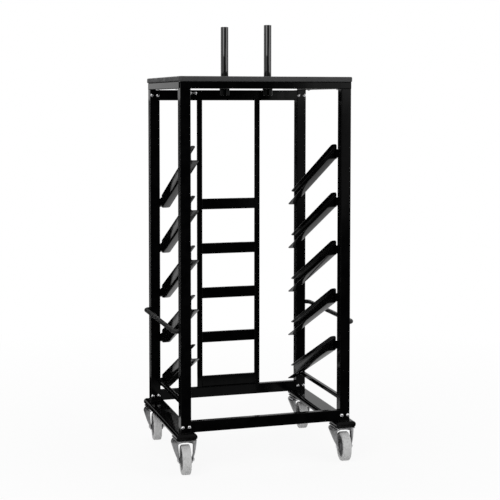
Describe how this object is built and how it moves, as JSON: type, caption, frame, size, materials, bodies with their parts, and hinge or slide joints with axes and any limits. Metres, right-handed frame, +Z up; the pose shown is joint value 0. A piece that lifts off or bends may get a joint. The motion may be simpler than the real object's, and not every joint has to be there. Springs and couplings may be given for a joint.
{
  "type": "banquet table trolley",
  "caption": "Upright four-castor trolley with sloping side slots for table tops, a stop frame at the back and two pins on its lid.",
  "frame": {"origin": "on the floor, in the middle of the outline of the whole trolley", "axes": "+Z up, +Y from the open side to the stop frame, +X to the right when looking in from the open side"},
  "size_m": [0.8264, 0.7018, 1.91],
  "materials": {
    "black_powder_coat": "semi-gloss black powder coat",
    "black_gloss_paint": "gloss black paint",
    "dark_board": "dark grey laminated board, matt",
    "black_plastic": "moulded black plastic",
    "bright_zinc": "bright zinc plating",
    "dull_zinc": "zinc plated pressed steel",
    "grey_plastic": "moulded grey plastic",
    "grey_rubber": "light grey non-marking rubber"
  },
  "bodies": {
    "frame": {"lid_board": "dark_board", "leg_front_left": "black_powder_coat", "leg_front_right": "black_powder_coat", "leg_back_left": "black_powder_coat", "leg_back_right": "black_powder_coat", "top_rail_front": "black_powder_coat", "top_rail_left": "black_powder_coat", "top_rail_right": "black_powder_coat", "top_rail_back": "black_powder_coat", "bottom_rail_front": "black_powder_coat", "bottom_rail_back": "black_powder_coat", "stop_upright_left": "black_powder_coat", "stop_upright_right": "black_powder_coat", "stop_bar_1": "black_powder_coat", "stop_bar_2": "black_powder_coat", "stop_bar_3": "black_powder_coat", "stop_bar_4": "black_powder_coat", "stop_bar_5": "black_powder_coat", "slot_guide_left_1": "black_powder_coat", "slot_guide_left_2": "black_powder_coat", "slot_guide_left_3": "black_powder_coat", "slot_guide_left_4": "black_powder_coat", "slot_guide_left_5": "black_powder_coat", "slot_guide_right_1": "black_powder_coat", "slot_guide_right_2": "black_powder_coat", "slot_guide_right_3": "black_powder_coat", "slot_guide_right_4": "black_powder_coat", "slot_guide_right_5": "black_powder_coat", "side_handle_left": "black_powder_coat", "side_handle_right": "black_powder_coat", "lower_braces": "black_powder_coat", "base_tube_left": "black_powder_coat", "base_tube_right": "black_powder_coat", "base_end_caps": "black_plastic", "pin_sockets": "black_powder_coat", "frame_bolts": "bright_zinc", "lid_screws": "bright_zinc", "castor_bolts": "bright_zinc", "castor_plate_front_left": "dull_zinc", "castor_plate_front_right": "dull_zinc", "castor_plate_back_left": "dull_zinc", "castor_plate_back_right": "dull_zinc"},
    "fork_front_left": {"castor_fork_front_left": "dull_zinc", "castor_axle_front_left": "bright_zinc"},
    "wheel_front_left": {"wheel_hub_front_left": "grey_plastic", "wheel_tyre_front_left": "grey_rubber"},
    "fork_front_right": {"castor_fork_front_right": "dull_zinc", "castor_axle_front_right": "bright_zinc"},
    "wheel_front_right": {"wheel_hub_front_right": "grey_plastic", "wheel_tyre_front_right": "grey_rubber"},
    "fork_back_left": {"castor_fork_back_left": "dull_zinc", "castor_axle_back_left": "bright_zinc"},
    "wheel_back_left": {"wheel_hub_back_left": "grey_plastic", "wheel_tyre_back_left": "grey_rubber"},
    "fork_back_right": {"castor_fork_back_right": "dull_zinc", "castor_axle_back_right": "bright_zinc"},
    "wheel_back_right": {"wheel_hub_back_right": "grey_plastic", "wheel_tyre_back_right": "grey_rubber"},
    "lift_pin_left": {"pin_left": "black_gloss_paint"},
    "lift_pin_right": {"pin_right": "black_gloss_paint"}
  },
  "joints": [
    {"name": "swivel_front_left", "type": "hinge", "parent": "frame", "child": "fork_front_left", "pos_m": [-0.3575, -0.25155, 0.131], "axis": [0, 0, 1], "continuous": true},
    {"name": "roll_front_left", "type": "hinge", "parent": "fork_front_left", "child": "wheel_front_left", "pos_m": [-0.36126, -0.28735, 0.0625], "axis": [0.9945, -0.1045, 0], "continuous": true},
    {"name": "swivel_front_right", "type": "hinge", "parent": "frame", "child": "fork_front_right", "pos_m": [0.3575, -0.25155, 0.131], "axis": [0, 0, 1], "continuous": true},
    {"name": "roll_front_right", "type": "hinge", "parent": "fork_front_right", "child": "wheel_front_right", "pos_m": [0.35374, -0.28735, 0.0625], "axis": [0.9945, -0.1045, 0], "continuous": true},
    {"name": "swivel_back_left", "type": "hinge", "parent": "frame", "child": "fork_back_left", "pos_m": [-0.3575, 0.29745, 0.131], "axis": [0, 0, 1], "continuous": true},
    {"name": "roll_back_left", "type": "hinge", "parent": "fork_back_left", "child": "wheel_back_left", "pos_m": [-0.36126, 0.26165, 0.0625], "axis": [0.9945, -0.1045, 0], "continuous": true},
    {"name": "swivel_back_right", "type": "hinge", "parent": "frame", "child": "fork_back_right", "pos_m": [0.3575, 0.29745, 0.131], "axis": [0, 0, 1], "continuous": true},
    {"name": "roll_back_right", "type": "hinge", "parent": "fork_back_right", "child": "wheel_back_right", "pos_m": [0.35374, 0.26165, 0.0625], "axis": [0.9945, -0.1045, 0], "continuous": true},
    {"name": "pin_lift_left", "type": "slide", "parent": "frame", "child": "lift_pin_left", "axis": [0, 0, 1], "range_m": [0, 0.08]},
    {"name": "pin_lift_right", "type": "slide", "parent": "frame", "child": "lift_pin_right", "axis": [0, 0, 1], "range_m": [0, 0.08]}
  ]
}
